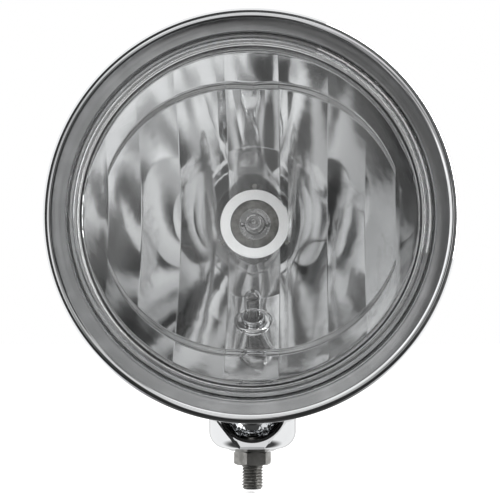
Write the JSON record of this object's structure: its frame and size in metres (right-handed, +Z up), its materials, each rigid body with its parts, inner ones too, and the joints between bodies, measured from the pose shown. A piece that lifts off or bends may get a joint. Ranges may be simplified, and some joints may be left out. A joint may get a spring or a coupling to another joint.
{
  "type": "fog lamp",
  "caption": "Round chromed fog lamp with clear glass lens, fluted reflector, two bulbs and a swivelling foot on a threaded stud.",
  "frame": {"origin": "on the stud's axis, in the lower face of the nut, where the lamp meets the vehicle's bracket", "axes": "+Z up along the stud, out of the bracket; the lens faces -Y; +X is to the right when facing the lens"},
  "size_m": [0.23, 0.149, 0.27],
  "materials": {
    "chrome_shell": "polished chrome plate on pressed steel",
    "chrome_bezel": "polished chrome plate on rolled steel",
    "chrome_cup": "polished chrome plate",
    "zinc_steel": "dull zinc plate",
    "black_rubber": "moulded rubber",
    "grey_rubber": "moulded rubber",
    "lens_glass": "clear glass with a knurled shoulder",
    "reflector_mirror": "vacuum aluminised, bright",
    "bulb_metal": "satin nickel",
    "bulb_glass": "clear glass",
    "tungsten": "drawn tungsten wire",
    "spring_wire": "drawn spring wire",
    "socket_chrome": "bright plated",
    "red_lead": "coloured insulation",
    "black_lead": "coloured insulation",
    "brown_lead": "coloured insulation",
    "connector_plastic": "moulded plastic",
    "brass_terminal": "drawn brass"
  },
  "bodies": {
    "stud": {"mounting_stud": "zinc_steel", "clamp_nut": "zinc_steel", "spring_washer": "zinc_steel"},
    "foot": {"swivel_cup": "chrome_cup", "seat_liner": "black_rubber", "ball_washer": "zinc_steel"},
    "head": {"housing_shell": "chrome_shell", "housing_gasket": "black_rubber", "bezel_ring": "chrome_bezel", "bezel_screws": "zinc_steel", "bezel_clip_nuts": "zinc_steel", "lens": "lens_glass", "lens_seal": "grey_rubber", "reflector": "reflector_mirror", "bulb_holder_plate": "zinc_steel", "holder_screws": "zinc_steel", "clip_hinge_bracket": "zinc_steel", "clip_catch": "zinc_steel", "main_bulb_base": "bulb_metal", "main_bulb_glass": "bulb_glass", "main_bulb_filament": "tungsten", "side_lamp_socket": "socket_chrome", "side_lamp_seal": "black_rubber", "side_bulb_base": "bulb_glass", "side_bulb_glass": "bulb_glass", "side_bulb_filament": "tungsten", "bulb_lead": "red_lead", "earth_lead": "black_lead", "side_lead": "brown_lead", "lead_connector": "connector_plastic", "lead_terminals": "brass_terminal", "cable_grommet": "black_rubber"},
    "clip": {"bulb_clip": "spring_wire"}
  },
  "joints": [
    {"name": "foot_pan", "type": "hinge", "parent": "stud", "child": "foot", "pos_m": [0, 0, 0], "axis": [0, 0, 1], "range_deg": [-90, 90]},
    {"name": "head_tilt", "type": "hinge", "parent": "foot", "child": "head", "pos_m": [0, 0, 0.0325], "axis": [1, 0, 0], "range_deg": [-15, 15]},
    {"name": "clip_swing", "type": "hinge", "parent": "head", "child": "clip", "pos_m": [0, 0.05318, 0.123], "axis": [-1, 0, 0], "range_deg": [0, 50]}
  ]
}
